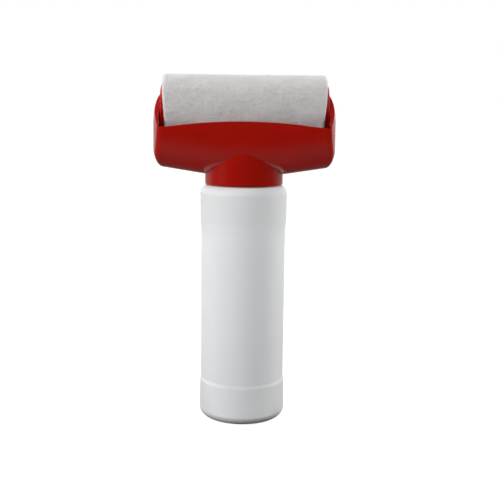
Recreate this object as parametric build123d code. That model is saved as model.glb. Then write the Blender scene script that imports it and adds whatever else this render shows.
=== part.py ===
"""Refillable paint roller: a squeeze bottle that is also the handle, with a screw-on roller head.

Millimetres, +Z up, origin at the centre of the bottle's base. X runs along the roller, -Y is the front.
Paint rises from the bottle through the flow insert into the head's chamber, then through the spreader
plate onto the nap. The head unscrews from the bottle. Its ears spring apart to let the roller out.
"""

from math import asin, cos, degrees, pi, sin
import os

from build123d import *

# ---- overall sizes
OVERALL_WIDTH = 114.0
OVERALL_HEIGHT = 219.0
BOTTLE_DIAMETER = 55.0

# ---- bottle: outer radii and heights, from the base up
BAND_R = BOTTLE_DIAMETER / 2
BAND_LOW_R = BAND_R - 0.2  # the upper band tapers a little downwards
PANEL_TOP_R = 26.65
PANEL_LOW_R = 26.5
BASE_BAND_R = 27.3
BASE_BAND_TAPER = 0.25
BASE_FILLET = 5.7
BASE_BAND_TOP_Z = 23.8
PANEL_LOW_Z = 25.8
LEDGE_ROUNDING = 1.2  # softens the small step between base band and panel
WAIST_ROUNDING = 12.0  # softens the slope between panel and upper band
PANEL_TOP_Z = 120.5
BAND_LOW_Z = 126.8
SHOULDER_Z = 150.0
SHOULDER_FILLET = 5.5
PUSH_UP_R = 19.0  # the base is pushed up inside this radius, so that it stands on a ring
PUSH_UP_H = 2.2
WALL = 1.3
NECK_R = 21.4
NECK_BORE_R = 19.2
NECK_TOP_Z = 160.3
NECK_FOOT_ROUNDING = 0.4
RIM_ROUNDING = 0.5
INNER_ROUNDING = 1.0

# ---- screw thread between neck and head
THREAD_PITCH = 4.0
THREAD_DEPTH = 1.15
THREAD_ROOT_W = 2.2
THREAD_CREST_W = 1.0
THREAD_SINK = 0.25  # how far a thread's foot reaches into the wall that carries it
NECK_THREAD_Z = 152.9
NECK_THREAD_TURNS = 1.25
HEAD_THREAD_TURNS = 1.25
HEAD_THREAD_SHIFT = 1.62  # the head's thread bears on the underside of the neck's thread

# ---- neck seal and flow insert
SEAL_R = 21.3
SEAL_BORE_R = 17.5
SEAL_T = 1.2
INSERT_FLANGE_R = 21.5
INSERT_FLANGE_T = 1.0
INSERT_R = 16.9
INSERT_WALL = 1.2
INSERT_TOP_Z = 165.5
INSERT_HOLE_R = 2.0
INSERT_CENTRE_HOLE_R = 3.0
INSERT_HOLE_RING_R = 10.0
INSERT_HOLES = 6

# ---- roller
ROLLER_R = 22.5
AXLE_Z = OVERALL_HEIGHT - ROLLER_R
NAP_HALF = 50.8
NAP_EDGE_R = 2.5
CORE_R = 14.0
CORE_BORE_R = 12.5
CORE_HALF = 50.8
CAP_FLANGE_R = 15.8
CAP_FLANGE_T = 1.2
CAP_EDGE_R = 0.6
CAP_GAP = 0.1  # between the nap's end and the flange
CAP_SKIRT_L = 9.0
CAP_SKIRT_T = 1.2
CAP_HUB_R = 4.2
CAP_RIBS = 4
CAP_RIB_T = 1.2
CAP_RIB_SETBACK = 3.0  # the ribs stop short of the skirt's inner end
AXLE_R = 2.0
AXLE_RUNNING_GAP = 0.08
AXLE_HALF = 55.2
AXLE_CHAMFER = 0.4

# ---- head: a U-shaped trough whose underside falls towards the middle
HEAD_HALF = OVERALL_WIDTH / 2
HEAD_R = 27.0
HEAD_WALL = 2.2
KEEL_Z = 154.95  # the underside's lowest line, at the middle
KEEL_R = 195.0  # that line is an arc out to KEEL_BEND_X, and straight beyond
KEEL_BEND_X = 30.0
KEEL_RUN = 45.0
END_DOME_R = 80.0  # the ends are domed: round in plan, about upright axes
END_FOOT_Z = 172.5  # below this the ends curve inwards
END_FOOT_R = 17.0
END_WALL = 4.2
END_EDGE_R = 3.6
INNER_DOME_R = 320.0  # the ends' inner faces are flatter in plan
LIP_MID_Z = 190.1
LIP_END_Z = 186.6
LIP_END_X = 47.0
LIP_EDGE_R = 0.5
EAR_R = 9.2
EAR_TOP_Z = AXLE_Z + EAR_R
CLEAR_Z = EAR_TOP_Z + 5  # above everything on the head
EAR_DOME_Z = 191.0  # above this the ends curve inwards too
EAR_DOME_R = 31.0
EAR_INNER_R = 260.0  # the ears' inner faces curve in less, so the ears thin towards their top
BOSS_R = 7.0
BOSS_FACE_X = 52.4
SOCKET_R = AXLE_R + 0.05
SOCKET_END_X = 55.6

# ---- head: screw collar and chamber
COLLAR_R = 24.6
COLLAR_STEP_R = 24.3
COLLAR_STEP_Z = 160.7
COLLAR_TOP_Z = 171.5
COLLAR_LOW_Z = 150.4
COLLAR_BORE_R = 22.9
LAND_Z = 162.5
LAND_T = 2.0
THROAT_R = 17.0
PLATE_Z = 171.0
PLATE_T = 1.5
PLATE_GAP = 0.2
SHELF_T = 1.5
SHELF_W = 1.8
NUB_R = 1.0
NUB_X = 25.0

# ---- spreader plate holes
FEED_HOLE_R = 1.2
FEED_PITCH_X = 9.0
FEED_ROW_Y = (-8.0, 0.0, 8.0)
FEED_COUNT = 11

CUT = 62.0  # a length past every wall, for cutting tools


def revolved(corners):
    """A solid of revolution about Z. Each corner of its half section is (radius, height, rounding)."""
    points = [(r, z) for r, z, rounding in corners]
    roundings = [rounding for r, z, rounding in corners]
    outline = FilletPolyline(*points, radius=roundings, close=True)
    return revolve(Plane.XZ * make_face(outline), Axis.Z)


def tube(outer, inner, low, high):
    """A plain upright ring between two heights."""
    height = high - low
    align = (Align.CENTER, Align.CENTER, Align.MIN)
    ring = Cylinder(outer, height, align=align) - Cylinder(inner, height, align=align)
    return Pos(0, 0, low) * ring


def disc(radius, low, high):
    """A plain upright cylinder between two heights."""
    return Pos(0, 0, low) * Cylinder(radius, high - low, align=(Align.CENTER, Align.CENTER, Align.MIN))


def thread(wall_r, outward, z, turns):
    """A right-hand trapezoidal thread on a wall of radius wall_r, standing outward (+1) or inward (-1)."""
    helix = Helix(pitch=THREAD_PITCH, height=THREAD_PITCH * turns, radius=wall_r)
    foot = -outward * THREAD_SINK
    crest = outward * THREAD_DEPTH
    foot_w = THREAD_ROOT_W / 2 + THREAD_SINK / 2
    section = Polyline(
        (foot, -foot_w), (crest, -THREAD_CREST_W / 2), (crest, THREAD_CREST_W / 2), (foot, foot_w), close=True
    )
    start = Plane(origin=helix @ 0, x_dir=(1, 0, 0), z_dir=helix % 0)
    return Pos(0, 0, z) * sweep(make_face(start * section), path=helix, is_frenet=True)


# ---- bottle


def make_bottle():
    """A thin-walled bottle: base band, panel, wider upper band, shoulder and threaded neck."""
    outer = revolved(
        [
            (0, 0, 0),
            (BASE_BAND_R, 0, BASE_FILLET),
            (BASE_BAND_R - BASE_BAND_TAPER, BASE_BAND_TOP_Z, LEDGE_ROUNDING),
            (PANEL_LOW_R, PANEL_LOW_Z, LEDGE_ROUNDING),
            (PANEL_TOP_R, PANEL_TOP_Z, WAIST_ROUNDING),
            (BAND_LOW_R, BAND_LOW_Z, WAIST_ROUNDING),
            (BAND_R, SHOULDER_Z, SHOULDER_FILLET),
            (NECK_R, SHOULDER_Z, NECK_FOOT_ROUNDING),
            (NECK_R, NECK_TOP_Z, RIM_ROUNDING),
            (0, NECK_TOP_Z, 0),
        ]
    )
    inner = revolved(
        [
            (0, PUSH_UP_H + WALL, 0),
            (PUSH_UP_R - WALL, PUSH_UP_H + WALL, INNER_ROUNDING),
            (PUSH_UP_R + WALL, WALL, INNER_ROUNDING),
            (BASE_BAND_R - WALL, WALL, BASE_FILLET - WALL),
            (BASE_BAND_R - WALL, BASE_BAND_TOP_Z - WALL, LEDGE_ROUNDING),
            (PANEL_LOW_R - WALL, PANEL_LOW_Z + WALL, LEDGE_ROUNDING),
            (PANEL_TOP_R - WALL, PANEL_TOP_Z, WAIST_ROUNDING),
            (BAND_LOW_R - WALL, BAND_LOW_Z, WAIST_ROUNDING),
            (BAND_R - WALL, SHOULDER_Z - WALL, SHOULDER_FILLET - WALL),
            (NECK_BORE_R, SHOULDER_Z - WALL, INNER_ROUNDING),
            (NECK_BORE_R, NECK_TOP_Z + 1, 0),
            (0, NECK_TOP_Z + 1, 0),
        ]
    )
    push_up = revolved(
        [
            (0, -1, 0),
            (PUSH_UP_R + WALL, -1, 0),
            (PUSH_UP_R - WALL, PUSH_UP_H, INNER_ROUNDING),
            (0, PUSH_UP_H, 0),
        ]
    )
    neck_thread = thread(NECK_R, 1, NECK_THREAD_Z, NECK_THREAD_TURNS)
    return (outer - inner - push_up) + neck_thread


# ---- seal and insert


def make_neck_seal():
    return tube(SEAL_R, SEAL_BORE_R, NECK_TOP_Z, NECK_TOP_Z + SEAL_T)


def make_flow_insert():
    """A perforated cup pressed into the head's throat, with a flange against the land."""
    low = LAND_Z - INSERT_FLANGE_T
    bore_r = INSERT_R - INSERT_WALL
    body = disc(INSERT_FLANGE_R, low, LAND_Z) + disc(INSERT_R, low, INSERT_TOP_Z)
    body -= disc(bore_r, low - 1, INSERT_TOP_Z - INSERT_WALL)
    body -= disc(INSERT_CENTRE_HOLE_R, low, INSERT_TOP_Z + 1)
    for i in range(INSERT_HOLES):
        angle = 2 * pi * i / INSERT_HOLES
        x, y = INSERT_HOLE_RING_R * cos(angle), INSERT_HOLE_RING_R * sin(angle)
        body -= Pos(x, y, 0) * disc(INSERT_HOLE_R, low, INSERT_TOP_Z + 1)
    return body


# ---- head


def keel_path():
    """The lowest line of the underside: a wide arc in the middle, then straight and rising to both ends."""
    bend = degrees(asin(KEEL_BEND_X / KEEL_R))
    arc = CenterArc((0, KEEL_Z + KEEL_R), KEEL_R, 270 - bend, 2 * bend)
    left = Line(arc @ 0 - (arc % 0) * KEEL_RUN, arc @ 0)
    right = Line(arc @ 1, arc @ 1 + (arc % 1) * KEEL_RUN)
    return Plane.XZ * (Curve() + [left, arc, right])


def trough(radius):
    """A long U-shaped form about the head's own trough, of one radius, square to the keel."""
    arc = CenterArc((0, HEAD_R), radius, 180, 180)
    sides = Polyline(arc @ 1, (radius, CUT), (-radius, CUT), arc @ 0)
    keel = keel_path()
    start = Plane(origin=keel @ 0, x_dir=(0, 1, 0), z_dir=keel % 0)
    return sweep(start * make_face(Curve() + [arc, sides]), path=keel)


def domed(half, plan_r, arc_r):
    """The space between ends at |x| = half, round in plan. They curve in towards the ears' top and the foot."""
    top_angle = degrees(asin((CLEAR_Z - EAR_DOME_Z) / arc_r))
    top = CenterArc((plan_r - arc_r, EAR_DOME_Z), arc_r, 0, top_angle)
    foot = CenterArc((plan_r - END_FOOT_R, END_FOOT_Z), END_FOOT_R, -90, 90)
    side = Line(foot @ 1, top @ 0)
    line = Polyline(top @ 1, (0, (top @ 1).Y), (0, (foot @ 0).Y), foot @ 0)
    form = revolve(Plane.XZ * make_face(Curve() + [foot, side, top, line]), Axis.Z)
    shift = plan_r - half
    return (Pos(-shift, 0, 0) * form) & (Pos(shift, 0, 0) * form)


def between_ends(inset):
    """The space between the ends' inner faces, or inset from them."""
    return domed(HEAD_HALF - END_WALL - inset, INNER_DOME_R, EAR_INNER_R)


def lip_cut():
    """What is cleared above the arched lips, between the ears' inner faces."""
    arc = ThreePointArc((-LIP_END_X, LIP_END_Z), (0, LIP_MID_Z), (LIP_END_X, LIP_END_Z))
    line = Polyline(
        arc @ 1, (HEAD_HALF, LIP_END_Z), (HEAD_HALF, CLEAR_Z), (-HEAD_HALF, CLEAR_Z),
        (-HEAD_HALF, LIP_END_Z), arc @ 0
    )
    face = make_face(Plane.XZ * (Curve() + [arc, line]))
    return extrude(face, amount=CUT, both=True) & between_ends(0)


def ear_cut():
    """What is cleared in front of and behind the ears: straight slopes up to a round top about the axle."""
    round_top = Pos(0, AXLE_Z) * Circle(EAR_R)
    foot = Pos(0, LIP_END_Z - HEAD_R / 2) * Rectangle(2 * HEAD_R, HEAD_R)
    ears = extrude(Plane.YZ * make_hull(round_top.edges() + foot.edges()), amount=HEAD_HALF, both=True)
    above = slab(LIP_END_Z, CLEAR_Z, HEAD_HALF, HEAD_R + 1)
    between = slab(LIP_END_Z, LIP_MID_Z, LIP_END_X, HEAD_R + 1)
    return above - between - ears


def axle_bosses():
    """Round pads on the ears' inner faces, which the rod's ends sit in."""
    pads = Rot(0, 90, 0) * (Cylinder(BOSS_R, 2 * HEAD_HALF - END_WALL) - Cylinder(BOSS_R + 1, 2 * BOSS_FACE_X))
    return Pos(0, 0, AXLE_Z) * pads


def axle_sockets():
    """Blind sockets in the ears for the rod's two ends. The ears spring apart to let the roller out."""
    return Pos(0, 0, AXLE_Z) * Rot(0, 90, 0) * Cylinder(SOCKET_R, 2 * SOCKET_END_X)


def slab(low, high, half_x, half_y):
    """A flat box between two heights."""
    return Pos(0, 0, (low + high) / 2) * Box(2 * half_x, 2 * half_y, high - low)


def head_form():
    """The outer form of trough and ears, with its end edges rounded."""
    form = trough(HEAD_R) & domed(HEAD_HALF, END_DOME_R, EAR_DOME_R)
    ends = [e for e in form.edges() if abs((e @ 0.5).X) > HEAD_HALF - 10 and (e @ 0.5).Z < EAR_TOP_Z]
    return fillet(ends, END_EDGE_R)


def head_shell():
    """Collar, trough and ears, hollowed out down to the land, with the arched lips' long edges rounded."""
    collar = disc(COLLAR_R, COLLAR_LOW_Z, COLLAR_STEP_Z) + disc(COLLAR_STEP_R, COLLAR_LOW_Z, COLLAR_TOP_Z)
    inside = trough(HEAD_R - HEAD_WALL) & between_ends(0)
    shell = head_form() + collar - (inside - disc(COLLAR_R, COLLAR_LOW_Z, LAND_Z + LAND_T))
    shell = shell - lip_cut() - ear_cut()
    rims = [e for e in shell.edges() if (e @ 0.5).Z > LIP_END_Z and e.length > HEAD_HALF]
    return fillet(rims, LIP_EDGE_R), inside


def make_roller_head():
    body, inside = head_shell()
    shelf_hole = trough(HEAD_R - HEAD_WALL - SHELF_W) & between_ends(SHELF_W)
    shelf = (inside & slab(PLATE_Z - SHELF_T, PLATE_Z, CUT, CUT)) - shelf_hole
    body += shelf
    nub_z = PLATE_Z + PLATE_T + NUB_R + PLATE_GAP
    trough_z = KEEL_Z + KEEL_R - ((KEEL_R - HEAD_R) ** 2 - NUB_X**2) ** 0.5
    nub_y = ((HEAD_R - HEAD_WALL) ** 2 - (trough_z - nub_z) ** 2) ** 0.5
    for x in (-NUB_X, NUB_X):
        for y in (-nub_y, nub_y):
            body += Pos(x, y, nub_z) * Sphere(NUB_R)
    body += axle_bosses() & head_form()
    body -= axle_sockets()
    body -= disc(COLLAR_BORE_R, COLLAR_LOW_Z - 1, LAND_Z)
    body -= disc(THROAT_R, LAND_Z - 1, LAND_Z + LAND_T + 1)
    body += thread(COLLAR_BORE_R, -1, NECK_THREAD_Z - HEAD_THREAD_SHIFT, HEAD_THREAD_TURNS)
    return body


def make_spreader_plate():
    """A flat perforated plate over the chamber. Its edge follows the trough's wall with a small gap."""
    form = trough(HEAD_R - HEAD_WALL - PLATE_GAP) & between_ends(PLATE_GAP)
    plate = form & slab(PLATE_Z, PLATE_Z + PLATE_T, CUT, CUT)
    for i in range(FEED_COUNT):
        x = (i - (FEED_COUNT - 1) / 2) * FEED_PITCH_X
        for y in FEED_ROW_Y:
            plate -= Pos(x, y, 0) * disc(FEED_HOLE_R, PLATE_Z - 1, PLATE_Z + PLATE_T + 1)
    return plate


# ---- roller, modelled along +Z about the origin and then laid along X at the axle's height


def laid(solid):
    return Pos(0, 0, AXLE_Z) * Rot(0, 90, 0) * solid


def make_roller_nap():
    nap = Cylinder(ROLLER_R, 2 * NAP_HALF)
    nap = fillet(nap.edges().filter_by(GeomType.CIRCLE), NAP_EDGE_R)
    return laid(nap - Cylinder(CORE_R, 2 * NAP_HALF + 2))


def make_roller_core():
    return laid(tube(CORE_R, CORE_BORE_R, -CORE_HALF, CORE_HALF))


def make_axle_rod():
    rod = Cylinder(AXLE_R, 2 * AXLE_HALF)
    return laid(chamfer(rod.edges().filter_by(GeomType.CIRCLE), AXLE_CHAMFER))


def make_end_cap(side):
    """A flanged plug pressed into the core, with a ribbed hub that turns on the rod."""
    face = NAP_HALF + CAP_GAP
    inner = face - CAP_SKIRT_L
    flange = disc(CAP_FLANGE_R, face, face + CAP_FLANGE_T)
    flange = fillet(flange.edges().filter_by(GeomType.CIRCLE).sort_by(Axis.Z)[-1], CAP_EDGE_R)
    cap = flange + tube(CORE_BORE_R, CORE_BORE_R - CAP_SKIRT_T, inner, face) + disc(CAP_HUB_R, inner, face)
    rib_low = inner + CAP_RIB_SETBACK
    rib_from = CAP_HUB_R / 2
    rib_to = CORE_BORE_R - CAP_SKIRT_T / 2
    for i in range(CAP_RIBS):
        rib = Pos((rib_from + rib_to) / 2, 0, (rib_low + face) / 2) * Box(rib_to - rib_from, CAP_RIB_T, face - rib_low)
        cap += Rot(0, 0, 360 / CAP_RIBS * i + 45) * rib
    cap -= disc(AXLE_R + AXLE_RUNNING_GAP, inner - 1, face + CAP_FLANGE_T + 1)
    return laid(cap if side > 0 else mirror(cap, Plane.XY))


PARTS = {
    "bottle": make_bottle,
    "neck_seal": make_neck_seal,
    "flow_insert": make_flow_insert,
    "roller_head": make_roller_head,
    "spreader_plate": make_spreader_plate,
    "axle_rod": make_axle_rod,
    "roller_core": make_roller_core,
    "roller_nap": make_roller_nap,
    "left_end_cap": lambda: make_end_cap(-1),
    "right_end_cap": lambda: make_end_cap(1),
}

os.makedirs("parts", exist_ok=True)
for name, make in PARTS.items():
    export_step(make(), f"parts/{name}.step")
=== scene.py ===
"""Looks of the refillable bottle paint roller: materials for the moulded pieces, and a napped sleeve.

Metres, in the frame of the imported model: +Z up, X along the roller, -Y the front.
"""

from math import cos, pi, radians, sin

import bpy
import numpy as np
from mathutils import Matrix, Vector


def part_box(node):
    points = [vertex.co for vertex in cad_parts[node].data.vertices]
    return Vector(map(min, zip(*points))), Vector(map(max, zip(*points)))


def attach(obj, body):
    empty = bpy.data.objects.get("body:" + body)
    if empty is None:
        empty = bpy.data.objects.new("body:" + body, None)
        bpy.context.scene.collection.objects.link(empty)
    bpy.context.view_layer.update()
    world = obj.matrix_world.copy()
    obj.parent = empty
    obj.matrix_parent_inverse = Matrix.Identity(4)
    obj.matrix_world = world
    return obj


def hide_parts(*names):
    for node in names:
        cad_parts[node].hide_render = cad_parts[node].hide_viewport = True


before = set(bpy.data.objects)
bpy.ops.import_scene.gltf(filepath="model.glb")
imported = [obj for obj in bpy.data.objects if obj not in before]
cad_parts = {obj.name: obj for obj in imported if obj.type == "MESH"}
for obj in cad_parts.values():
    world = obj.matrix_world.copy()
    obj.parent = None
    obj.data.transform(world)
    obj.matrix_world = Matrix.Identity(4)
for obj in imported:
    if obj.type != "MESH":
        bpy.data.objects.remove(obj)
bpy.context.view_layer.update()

# ---- camera
CAMERA_PLACE = (0.0, -0.5763, 0.2022)
CAMERA_PITCH = 7.08  # degrees down
CAMERA_ROLL = 0.617  # degrees
CAMERA_LENS = 65.6
CAMERA_SENSOR = 36.0
CAMERA_SHIFT = (0.013, -0.0715)
CAMERA_REACH = (0.01, 50.0)

# ---- lamps
MIDDLE = (0.0, 0.0, 0.13)  # what the key and the side panels face
KEY_PLACE = (-0.20, 0.50, 1.30)
KEY_STRENGTH = 1.65
KEY_WIDTH = 55.0  # degrees
FRONT_PLACE = (-0.12, -0.60, 0.40)
FRONT_TARGET = (0.0, 0.0, 0.17)
FRONT_SIZE = (0.45, 0.25)
FRONT_POWER = 1.85
BELLY_PLACE = (0.0, -0.20, 0.005)
BELLY_TARGET = (0.0, -0.20, 1.0)
BELLY_SIZE = (0.40, 0.36)
BELLY_POWER = 0.25
BELLY_SPREAD = 100.0  # degrees
SIDE_SIZE = (0.35, 0.35)
SIDE_PANELS = (  # name, place and power
    ("left_fill", (-0.57, -0.19, 0.30), 1.7),
    ("right_fill", (0.60, -0.08, 0.30), 0.80),
    ("back_left", (-0.49, 0.35, 0.30), 1.1),
    ("back_right", (0.54, 0.27, 0.30), 2.7),
)

# ---- brightness of the room and the floor, as the model's surfaces reflect them
# each rise is the two values of a direction's x, y or z, or of a place's y, that a change runs between
ROOM_FRONT = 0.01
ROOM_BEHIND = 1.4
ROOM_BEHIND_RISE = (0.45, 1.0)
ROOM_BAND = 0.60
ROOM_BAND_RISE = (0.42, 0.62)
ROOM_BAND_FALL = (0.72, 0.92)
ROOM_LEFT = 0.30
ROOM_LEFT_RISE = (0.55, 0.95)
FLOOR_FAR_FRONT = 0.005
FLOOR_NEAR = 0.06
FLOOR_NEAR_RISE = (-0.50, -0.05)
FLOOR_BEHIND = 0.60
FLOOR_BEHIND_RISE = (0.10, 1.10)
FLOOR_HALF = 12.0

# ---- places read from the frame
NAP_LOW, NAP_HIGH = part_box("roller_nap")
NAP_HALF = (NAP_HIGH.x - NAP_LOW.x) / 2
NAP_R = (NAP_HIGH.y - NAP_LOW.y) / 2
AXLE_Z = (NAP_HIGH.z + NAP_LOW.z) / 2
CORE_R = (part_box("roller_core")[1].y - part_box("roller_core")[0].y) / 2

# ---- nap
NAP_SEED = 7
FUZZ_DEPTH = 0.0006
MASS_R = NAP_R - FUZZ_DEPTH  # the body of the pile, which the fibres stand out of
BORE_GAP = 0.0001  # between the core and the pile's backing
SLEEVE_AROUND = 300  # points round the sleeve
SLEEVE_ALONG = 150  # steps along its straight middle
FACE_STEPS = 5
EDGE_STEPS = 8
NAP_END_ROUND = 0.0019
END_TUCK = 0.0022  # how far the pile's ends draw in where they are pressed, around TUCK_ANGLE
TUCK_ANGLE = radians(215)
FLUFF_HEIGHT = 0.00007
FLUFF_PASSES = 2
SWELL_HEIGHT = 0.00012
SWELL_PASSES = 60
RELIEF_LIMITS = (-0.0006, 0.0005)
RELIEF_FOOT = 0.001  # the relief is none this far out of the core, and full RELIEF_GROWTH further out
RELIEF_GROWTH = 0.003
FIBRES = 46000
FIBRE_LENGTH = 0.0015
FIBRE_SHARES = (0.6, 1.1)  # the shortest and the longest, as shares of FIBRE_LENGTH
FIBRE_R = 0.00009
FIBRE_ROOT = 0.0006  # how deep a fibre starts in the pile
END_FIBRE_SHARE = 0.45  # how long the fibres on the end faces are, against the others
CLUMP_LEAN = 0.5
CLUMP_WANDER = 3
CLUMPS_ALONG = (900, 23)  # waves of the lean along the roller: radians per metre, and per radian round it
CLUMPS_AROUND = (700, 31)  # the same for the lean round the roller
STRAY_LEAN = 0.35

# ---- upper band's moulded diamonds
BAND_LOW_Z = 0.1262
BAND_TOP_Z = 0.1452
BAND_FADE = 0.001
BAND_R = 0.0275
DIAMOND_PITCH = 0.0017


# ---- node helpers


def new_material(name):
    """A material with a bare Principled shader. Returns the material, its tree and the shader."""
    material = bpy.data.materials.new(name)
    material.use_nodes = True
    tree = material.node_tree
    shader = next(n for n in tree.nodes if n.type == "BSDF_PRINCIPLED")
    return material, tree, shader


def add(tree, kind, **values):
    """A node of one kind, with the values of its unlinked inputs set by name."""
    node = tree.nodes.new(kind)
    for name, value in values.items():
        node.inputs[name].default_value = value
    return node


def noise(tree, coords, scale, detail, rough):
    """Noise over the given coordinates. scale is in features per metre."""
    node = add(tree, "ShaderNodeTexNoise", Scale=scale, Detail=detail, Roughness=rough)
    tree.links.new(coords, node.inputs["Vector"])
    return node.outputs["Fac"]


def ramp(tree, value, low, high, start=0.0, end=1.0):
    """Maps value from low..high to start..end, clamped."""
    limits = {"From Min": low, "From Max": high, "To Min": start, "To Max": end}
    node = add(tree, "ShaderNodeMapRange", **limits)
    tree.links.new(value, node.inputs["Value"])
    return node.outputs["Result"]


def calculate(tree, operation, a, b=0.0):
    """One Math node. a and b are sockets or numbers."""
    node = tree.nodes.new("ShaderNodeMath")
    node.operation = operation
    for index, value in enumerate((a, b)):
        if isinstance(value, (int, float)):
            node.inputs[index].default_value = value
        else:
            tree.links.new(value, node.inputs[index])
    return node.outputs[0]


def axes(tree, coords):
    """The x, y and z of coordinates, as three sockets."""
    split = tree.nodes.new("ShaderNodeSeparateXYZ")
    tree.links.new(coords, split.inputs[0])
    return split.outputs


def squashed(tree, coords, scale):
    """Coordinates scaled along each axis. A pattern on them is drawn out along the smallest scale."""
    mapping = add(tree, "ShaderNodeMapping", Scale=scale)
    tree.links.new(coords, mapping.inputs["Vector"])
    return mapping.outputs["Vector"]


def mix_colour(tree, factor, a, b):
    """A colour mix. a and b are colours or sockets."""
    node = tree.nodes.new("ShaderNodeMix")
    node.data_type = "RGBA"
    tree.links.new(factor, node.inputs["Factor"])
    for socket, value in ((node.inputs[6], a), (node.inputs[7], b)):
        if isinstance(value, tuple):
            socket.default_value = (*value, 1.0)
        else:
            tree.links.new(value, socket)
    return node.outputs[2]


def bump(tree, height, distance, strength, normal=None):
    """A Bump node. distance is the real height in metres."""
    node = add(tree, "ShaderNodeBump", Distance=distance, Strength=strength)
    tree.links.new(height, node.inputs["Height"])
    if normal is not None:
        tree.links.new(normal, node.inputs["Normal"])
    return node.outputs["Normal"]


def object_coords(tree):
    """Coordinates in the piece's own frame, in metres."""
    return tree.nodes.new("ShaderNodeTexCoord").outputs["Object"]


def paint(node_name, material):
    """Gives a CAD node its material."""
    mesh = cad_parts[node_name].data
    mesh.materials.clear()
    mesh.materials.append(material)


# ---- materials


def moulded_plastic(name, dark, light, roughness, grain, grain_depth):
    """Injection-moulded plastic: slight colour streaks, fine surface grain, scuffs that dull the gloss."""
    material, tree, shader = new_material(name)
    coords = object_coords(tree)
    streaks = noise(tree, coords, scale=45.0, detail=5.0, rough=0.6)
    colour = mix_colour(tree, ramp(tree, streaks, 0.35, 0.65), dark, light)
    tree.links.new(colour, shader.inputs["Base Color"])
    scuffs = noise(tree, coords, scale=260.0, detail=6.0, rough=0.65)
    dulled = ramp(tree, scuffs, 0.4, 0.75, start=roughness, end=roughness + 0.10)
    tree.links.new(dulled, shader.inputs["Roughness"])
    fine = noise(tree, coords, scale=grain, detail=3.0, rough=0.5)
    broad = noise(tree, coords, scale=90.0, detail=2.0, rough=0.5)
    normal = bump(tree, broad, distance=grain_depth * 3, strength=0.5)
    normal = bump(tree, fine, distance=grain_depth, strength=0.6, normal=normal)
    tree.links.new(normal, shader.inputs["Normal"])
    return material


def head_red():
    return moulded_plastic(
        "red_polypropylene",
        dark=(0.370, 0.0070, 0.0032),
        light=(0.405, 0.0080, 0.0038),
        roughness=0.16,
        grain=1500.0,
        grain_depth=0.00003,
    )


# Painted light: the head's red plastic made lighter, so that the shaded gap between the ears, the end caps
# and the nap's ends reads as lit red.
def red_with_painted_light():
    return moulded_plastic(
        "red_polypropylene_painted_lighter",
        dark=(0.52, 0.0065, 0.0030),
        light=(0.58, 0.0075, 0.0035),
        roughness=0.35,
        grain=1500.0,
        grain_depth=0.00004,
    )


def seal_rubber():
    return moulded_plastic(
        "soft_seal",
        dark=(0.36, 0.36, 0.36),
        light=(0.44, 0.44, 0.44),
        roughness=0.62,
        grain=2500.0,
        grain_depth=0.00005,
    )


def inner_plastic():
    return moulded_plastic(
        "white_polypropylene",
        dark=(0.70, 0.70, 0.68),
        light=(0.78, 0.78, 0.76),
        roughness=0.38,
        grain=1500.0,
        grain_depth=0.00004,
    )


def diamonds(tree, coords):
    """Fine raised diamonds in the bottle's upper band, as a height of -1 to 1."""
    x, y, z = axes(tree, coords)
    around = calculate(tree, "MULTIPLY", calculate(tree, "ARCTAN2", y, x), BAND_R)
    turns = 2 * pi / DIAMOND_PITCH
    rising = calculate(tree, "MULTIPLY", calculate(tree, "ADD", around, z), turns)
    falling = calculate(tree, "MULTIPLY", calculate(tree, "SUBTRACT", around, z), turns)
    relief = calculate(tree, "MULTIPLY", calculate(tree, "SINE", rising), calculate(tree, "SINE", falling))
    fade_in = ramp(tree, z, BAND_LOW_Z, BAND_LOW_Z + BAND_FADE)
    fade_out = ramp(tree, z, BAND_TOP_Z - BAND_FADE, BAND_TOP_Z, start=1.0, end=0.0)
    return calculate(tree, "MULTIPLY", relief, calculate(tree, "MULTIPLY", fade_in, fade_out))


def milky_polyethylene():
    """The bottle: milky, slightly translucent plastic with flow lines and a diamond-textured band."""
    material, tree, shader = new_material("milky_polyethylene")
    coords = object_coords(tree)
    clouds = noise(tree, coords, scale=28.0, detail=3.0, rough=0.5)
    colour = mix_colour(tree, ramp(tree, clouds, 0.35, 0.65), (0.89, 0.91, 0.925), (0.92, 0.935, 0.945))
    tree.links.new(colour, shader.inputs["Base Color"])
    dull = noise(tree, coords, scale=150.0, detail=5.0, rough=0.6)
    tree.links.new(ramp(tree, dull, 0.35, 0.7, start=0.38, end=0.50), shader.inputs["Roughness"])
    shader.inputs["Subsurface Weight"].default_value = 0.35
    shader.inputs["Subsurface Radius"].default_value = (1.0, 1.0, 1.0)
    shader.inputs["Subsurface Scale"].default_value = 0.0012
    shader.inputs["IOR"].default_value = 1.50
    shader.inputs["Specular IOR Level"].default_value = 0.4
    flow = noise(tree, squashed(tree, coords, (1.0, 1.0, 0.12)), scale=240.0, detail=3.0, rough=0.5)
    grain = noise(tree, coords, scale=1800.0, detail=2.0, rough=0.5)
    normal = bump(tree, flow, distance=0.00006, strength=0.5)
    normal = bump(tree, grain, distance=0.00003, strength=0.5, normal=normal)
    normal = bump(tree, diamonds(tree, coords), distance=0.00010, strength=1.0, normal=normal)
    tree.links.new(normal, shader.inputs["Normal"])
    return material


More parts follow.
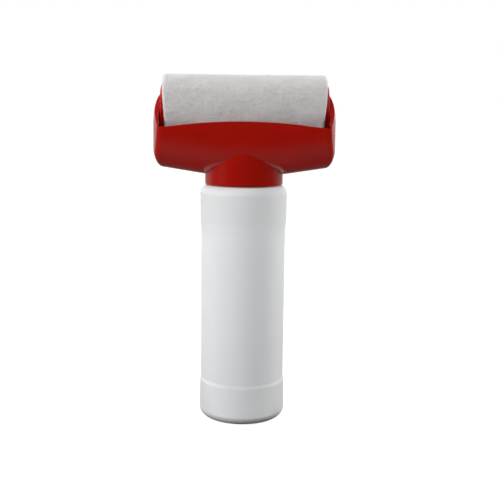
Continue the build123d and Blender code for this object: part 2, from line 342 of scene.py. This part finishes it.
def nap_pile():
    """White pile with a matt, softly mottled surface: faint clouds, finer tufts and fine fluff."""
    material, tree, shader = new_material("woven_pile")
    coords = object_coords(tree)
    clouds = noise(tree, coords, scale=110.0, detail=4.0, rough=0.6)
    base = mix_colour(tree, ramp(tree, clouds, 0.35, 0.65), (0.665, 0.645, 0.64), (0.73, 0.72, 0.71))
    tufts = noise(tree, coords, scale=1500.0, detail=3.0, rough=0.6)
    colour = mix_colour(tree, ramp(tree, tufts, 0.35, 0.60), (0.59, 0.57, 0.565), base)
    tree.links.new(colour, shader.inputs["Base Color"])
    shader.inputs["Roughness"].default_value = 1.0
    shader.inputs["Specular IOR Level"].default_value = 0.05
    shader.inputs["Sheen Weight"].default_value = 0.15
    shader.inputs["Sheen Roughness"].default_value = 0.6
    shader.inputs["Subsurface Weight"].default_value = 0.4
    shader.inputs["Subsurface Radius"].default_value = (1.0, 0.9, 0.9)
    shader.inputs["Subsurface Scale"].default_value = 0.0010
    fluff = noise(tree, coords, scale=2600.0, detail=3.0, rough=0.6)
    tree.links.new(bump(tree, fluff, distance=0.00012, strength=0.6), shader.inputs["Normal"])
    return material


def drawn_steel():
    """Bright wire with faint lines along its length."""
    material, tree, shader = new_material("drawn_steel")
    coords = squashed(tree, object_coords(tree), (0.02, 1.0, 1.0))
    lines = noise(tree, coords, scale=3000.0, detail=3.0, rough=0.6)
    colour = mix_colour(tree, lines, (0.50, 0.50, 0.51), (0.66, 0.66, 0.66))
    tree.links.new(colour, shader.inputs["Base Color"])
    tree.links.new(ramp(tree, lines, 0.3, 0.7, start=0.22, end=0.40), shader.inputs["Roughness"])
    tree.links.new(bump(tree, lines, distance=0.00002, strength=0.5), shader.inputs["Normal"])
    shader.inputs["Metallic"].default_value = 1.0
    return material


# ---- napped sleeve


def build_mesh(name, verts, faces, material, smooth):
    """An object with one mesh and one material."""
    mesh = bpy.data.meshes.new(name)
    mesh.from_pydata([tuple(v) for v in verts], [], faces)
    mesh.validate()
    if smooth:
        mesh.polygons.foreach_set("use_smooth", [True] * len(mesh.polygons))
    mesh.materials.append(material)
    piece = bpy.data.objects.new(name, mesh)
    bpy.context.scene.collection.objects.link(piece)
    return piece


def end_tuck(angle):
    """How far the pile's ends draw in at an angle round the roller, in metres."""
    return END_TUCK * np.clip(np.cos(angle - TUCK_ANGLE), 0, 1) ** 2


def sleeve_section():
    """The sleeve's profile, as (x, radius): up one end face, along, and down the other."""
    bore_r = CORE_R + BORE_GAP
    face_height = MASS_R - NAP_END_ROUND - CORE_R
    end = []
    for k in range(FACE_STEPS):
        end.append((-NAP_HALF, bore_r + face_height * k / FACE_STEPS))
    for k in range(EDGE_STEPS + 1):
        angle = pi / 2 * k / EDGE_STEPS
        end.append((-NAP_HALF + NAP_END_ROUND * (1 - cos(angle)), MASS_R - NAP_END_ROUND * (1 - sin(angle))))
    straight = NAP_HALF - NAP_END_ROUND
    middle = [(-straight + 2 * straight * k / SLEEVE_ALONG, MASS_R) for k in range(1, SLEEVE_ALONG)]
    return np.array(end + middle + [(-x, r) for x, r in reversed(end)])


def closed_sleeve():
    """The pile's body: a closed ring-shaped sleeve with tufted relief, as points and faces."""
    section = sleeve_section()
    angles = np.linspace(0, 2 * pi, SLEEVE_AROUND, endpoint=False)
    count = len(section)
    relief = tuft_relief(section, angles)
    verts = []
    for j, angle in enumerate(angles):
        radius = section[:, 1] + relief[j]
        x = section[:, 0] * (1 - end_tuck(angle) / NAP_HALF)
        verts += list(zip(x, radius * cos(angle), AXLE_Z + radius * sin(angle)))
    faces = []
    for j in range(SLEEVE_AROUND):
        nxt = (j + 1) % SLEEVE_AROUND
        for i in range(count):
            k = (i + 1) % count
            faces.append((j * count + i, j * count + k, nxt * count + k, nxt * count + i))
    return verts, faces


def smoothed(field, passes):
    """A field averaged with its neighbours, round the sleeve and along it, as often as passes says."""
    for _ in range(passes):
        for axis in (0, 1):
            field = (field + np.roll(field, 1, axis) + np.roll(field, -1, axis)) / 3
    return field / field.std()


def tuft_relief(section, angles):
    """Height of the pile's surface in metres: fine fluff on slow swells, and none at the bore."""
    rng = np.random.default_rng(NAP_SEED)
    shape = (len(angles), len(section))
    fluff = smoothed(rng.normal(size=shape), FLUFF_PASSES)
    swells = smoothed(rng.normal(size=shape), SWELL_PASSES)
    hold = np.clip((section[:, 1] - CORE_R - RELIEF_FOOT) / RELIEF_GROWTH, 0, 1)
    return np.clip((fluff * FLUFF_HEIGHT + swells * SWELL_HEIGHT) * hold, *RELIEF_LIMITS)


def unit(vectors):
    """Vectors scaled to length 1."""
    return vectors / np.linalg.norm(vectors, axis=1)[:, None]


def clump(main, cross):
    """How far a clump of fibres leans, from -1 to 1: waves one way that wander with the other."""
    return np.sin(main + CLUMP_WANDER * np.sin(cross))


def fibre_spikes():
    """Short tapered fibres all over the pile, each a closed four-sided spike, leaning in clumps."""
    rng = np.random.default_rng(NAP_SEED + 1)
    straight = NAP_HALF - NAP_END_ROUND
    arc = NAP_END_ROUND * pi / 2
    face = MASS_R - NAP_END_ROUND - CORE_R

    # where each fibre stands: s runs from the sleeve's middle, over the rounded edge, down the end face
    s = rng.uniform(-1, 1, FIBRES) * (straight + arc + face)
    theta = rng.uniform(0, 2 * pi, FIBRES)
    side = np.sign(s)
    s = np.abs(s)
    bend = np.clip((s - straight) / NAP_END_ROUND, 0, pi / 2)
    x = np.minimum(s, straight) + NAP_END_ROUND * np.sin(bend)
    r = MASS_R - NAP_END_ROUND * (1 - np.cos(bend)) - np.clip(s - straight - arc, 0, face)
    x = x * (1 - end_tuck(theta) / NAP_HALF)

    # which way it points: out of the pile, leaning with its clump
    zeros, ones = np.zeros(FIBRES), np.ones(FIBRES)
    radial = np.stack([zeros, np.cos(theta), np.sin(theta)], 1)
    along = np.stack([ones, zeros, zeros], 1) * side[:, None]
    around = np.stack([zeros, -np.sin(theta), np.cos(theta)], 1)
    out_x, out_r = np.sin(bend)[:, None], np.cos(bend)[:, None]
    normal = along * out_x + radial * out_r
    tangent = along * out_r - radial * out_x
    clump_a = clump(x * CLUMPS_ALONG[0], theta * CLUMPS_ALONG[1])
    clump_b = clump(theta * CLUMPS_AROUND[1], x * CLUMPS_AROUND[0])
    lean_a = CLUMP_LEAN * clump_a + rng.normal(0, STRAY_LEAN, FIBRES)
    lean_b = CLUMP_LEAN * clump_b + rng.normal(0, STRAY_LEAN, FIBRES)
    direction = unit(normal + tangent * lean_a[:, None] + around * lean_b[:, None])

    # its three foot points and its tip
    length = FIBRE_LENGTH * rng.uniform(*FIBRE_SHARES, FIBRES)
    length = np.where(s > straight + arc, length * END_FIBRE_SHARE, length)
    foot = along * x[:, None] + radial * r[:, None] - normal * FIBRE_ROOT
    u = unit(np.cross(direction, radial + along * 0.3))
    w = np.cross(direction, u)
    verts = np.zeros((FIBRES, 4, 3))
    for k in range(3):
        angle = 2 * pi * k / 3
        verts[:, k] = foot + (u * cos(angle) + w * sin(angle)) * FIBRE_R
    verts[:, 3] = foot + direction * length[:, None]
    verts[:, :, 2] += AXLE_Z
    base = np.arange(FIBRES)[:, None] * 4
    corners = np.array([[0, 1, 3], [1, 2, 3], [2, 0, 3], [2, 1, 0]])
    faces = (base[:, None, :] + corners[None, :, :]).reshape(-1, 3)
    return verts.reshape(-1, 3), faces.tolist()


def make_nap():
    """The napped sleeve: the pile's body and its fibres, which turn with the roller."""
    pile = nap_pile()
    sleeve = build_mesh("nap_sleeve", *closed_sleeve(), pile, smooth=True)
    fibres = build_mesh("nap_fibres", *fibre_spikes(), pile, smooth=False)
    for piece in (sleeve, fibres):
        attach(piece, "roller")
    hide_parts("roller_nap")
    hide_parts("roller_nap")


# ---- stage


def lamp(name, kind, place, target, energy):
    """A lamp at place that faces target, and isn't seen in reflections."""
    data = bpy.data.lights.new(name, kind)
    data.energy = energy
    light = bpy.data.objects.new(name, data)
    light.location = place
    light.rotation_mode = "QUATERNION"
    light.rotation_quaternion = (Vector(target) - Vector(place)).to_track_quat("-Z", "Y")
    bpy.context.scene.collection.objects.link(light)
    light.visible_glossy = False
    return light


def panel(name, place, target, power, size):
    """A rectangular lamp, which dims with distance."""
    light = lamp(name, "AREA", place, target, power)
    light.data.shape = "RECTANGLE"
    light.data.size, light.data.size_y = size
    light.visible_camera = False
    return light


def make_lights():
    """A soft key above and behind, a panel in front, one on the floor and four round the sides."""
    belly = panel("belly_fill", BELLY_PLACE, BELLY_TARGET, BELLY_POWER, BELLY_SIZE)
    belly.data.spread = radians(BELLY_SPREAD)
    key = lamp("key_sun", "SUN", KEY_PLACE, MIDDLE, KEY_STRENGTH)
    key.data.angle = radians(KEY_WIDTH)
    panel("front_fill", FRONT_PLACE, FRONT_TARGET, FRONT_POWER, FRONT_SIZE)
    for name, place, power in SIDE_PANELS:
        panel(name, place, MIDDLE, power, SIDE_SIZE)


def step_up(tree, value, low, high):
    """0 below low and 1 above high, with a smooth rise between."""
    node = add(tree, "ShaderNodeMapRange", **{"From Min": low, "From Max": high})
    node.interpolation_type = "SMOOTHSTEP"
    tree.links.new(value, node.inputs["Value"])
    return node.outputs["Result"]


def camera_or_other(tree, other, camera, output):
    """Sends one shader to what the camera sees directly, and the other to every other ray."""
    rays = tree.nodes.new("ShaderNodeLightPath")
    mixer = tree.nodes.new("ShaderNodeMixShader")
    tree.links.new(rays.outputs["Is Camera Ray"], mixer.inputs["Fac"])
    tree.links.new(other.outputs[0], mixer.inputs[1])
    tree.links.new(camera.outputs[0], mixer.inputs[2])
    tree.links.new(mixer.outputs[0], tree.nodes[output].inputs["Surface"])


def room_level(tree):
    """How bright the room is each way: bright behind, less so in a high band and on the left, else dim."""
    x, y, z = axes(tree, tree.nodes.new("ShaderNodeTexCoord").outputs["Generated"])
    behind = calculate(tree, "MULTIPLY", step_up(tree, y, *ROOM_BEHIND_RISE), ROOM_BEHIND)
    band = calculate(tree, "SUBTRACT", step_up(tree, z, *ROOM_BAND_RISE), step_up(tree, z, *ROOM_BAND_FALL))
    band = calculate(tree, "MULTIPLY", band, ROOM_BAND)
    leftward = calculate(tree, "MULTIPLY", x, -1.0)
    left = calculate(tree, "MULTIPLY", step_up(tree, leftward, *ROOM_LEFT_RISE), ROOM_LEFT)
    bright = calculate(tree, "MAXIMUM", calculate(tree, "MAXIMUM", behind, band), left)
    return calculate(tree, "ADD", bright, ROOM_FRONT)


def make_world():
    """A white backdrop to the camera, and a room that lights the model."""
    world = bpy.data.worlds.new("studio")
    bpy.context.scene.world = world
    world.use_nodes = True
    tree = world.node_tree
    shown = tree.nodes["Background"]
    shown.inputs["Color"].default_value = (1.0, 1.0, 1.0, 1.0)
    shown.inputs["Strength"].default_value = 1.0
    room = tree.nodes.new("ShaderNodeBackground")
    tree.links.new(room_level(tree), room.inputs["Strength"])
    camera_or_other(tree, room, shown, "World Output")


def white_floor():
    """Near white to the camera. To the model it is dark far in front, and paler near it and behind it."""
    material, tree, shader = new_material("pale_floor")
    shader.inputs["Base Color"].default_value = (0.25, 0.25, 0.25, 1.0)
    shader.inputs["Emission Color"].default_value = (1.0, 1.0, 1.0, 1.0)
    shader.inputs["Emission Strength"].default_value = 0.90
    shader.inputs["Roughness"].default_value = 0.9
    shader.inputs["Specular IOR Level"].default_value = 0.0
    y = axes(tree, object_coords(tree))["Y"]
    front = mix_colour(tree, step_up(tree, y, *FLOOR_NEAR_RISE), (FLOOR_FAR_FRONT,) * 3, (FLOOR_NEAR,) * 3)
    grey = mix_colour(tree, step_up(tree, y, *FLOOR_BEHIND_RISE), front, (FLOOR_BEHIND,) * 3)
    dim = tree.nodes.new("ShaderNodeBsdfDiffuse")
    tree.links.new(grey, dim.inputs["Color"])
    camera_or_other(tree, dim, shader, "Material Output")
    return material


def make_floor():
    """A large flat floor, which belongs to the stage."""
    mesh = bpy.data.meshes.new("floor")
    half = FLOOR_HALF
    corners = [(-half, -half, 0), (half, -half, 0), (half, half, 0), (-half, half, 0)]
    mesh.from_pydata(corners, [], [(0, 1, 2, 3)])
    mesh.materials.append(white_floor())
    floor = bpy.data.objects.new("floor", mesh)
    bpy.context.scene.collection.objects.link(floor)


def make_camera():
    """The camera, in front of the model and tilted down."""
    data = bpy.data.cameras.new("camera")
    data.lens = CAMERA_LENS
    data.sensor_width = CAMERA_SENSOR
    data.shift_x, data.shift_y = CAMERA_SHIFT
    data.clip_start, data.clip_end = CAMERA_REACH
    camera = bpy.data.objects.new("camera", data)
    bpy.context.scene.collection.objects.link(camera)
    pitch = Matrix.Rotation(radians(90 - CAMERA_PITCH), 4, "X")
    roll = Matrix.Rotation(radians(CAMERA_ROLL), 4, "Z")
    turn = pitch @ roll
    camera.matrix_world = Matrix.Translation(CAMERA_PLACE) @ turn
    bpy.context.scene.camera = camera


def dress_nodes():
    """Materials of the CAD nodes that are shown as they are."""
    # The end caps and the roller core take a lighter copy of the head's red, whose extra brightness is
    # painted light for the shaded gap by the nap's ends.
    red, painted_lit_red, white = head_red(), red_with_painted_light(), inner_plastic()
    paint("roller_head", red)
    paint("spreader_plate", red)
    paint("left_end_cap", painted_lit_red)
    paint("right_end_cap", painted_lit_red)
    paint("flow_insert", white)
    paint("roller_core", painted_lit_red)
    paint("bottle", milky_polyethylene())
    paint("neck_seal", seal_rubber())
    paint("axle_rod", drawn_steel())


make_camera()
make_world()
make_lights()
make_floor()
dress_nodes()
make_nap()
bpy.context.scene.view_settings.view_transform = "Standard"
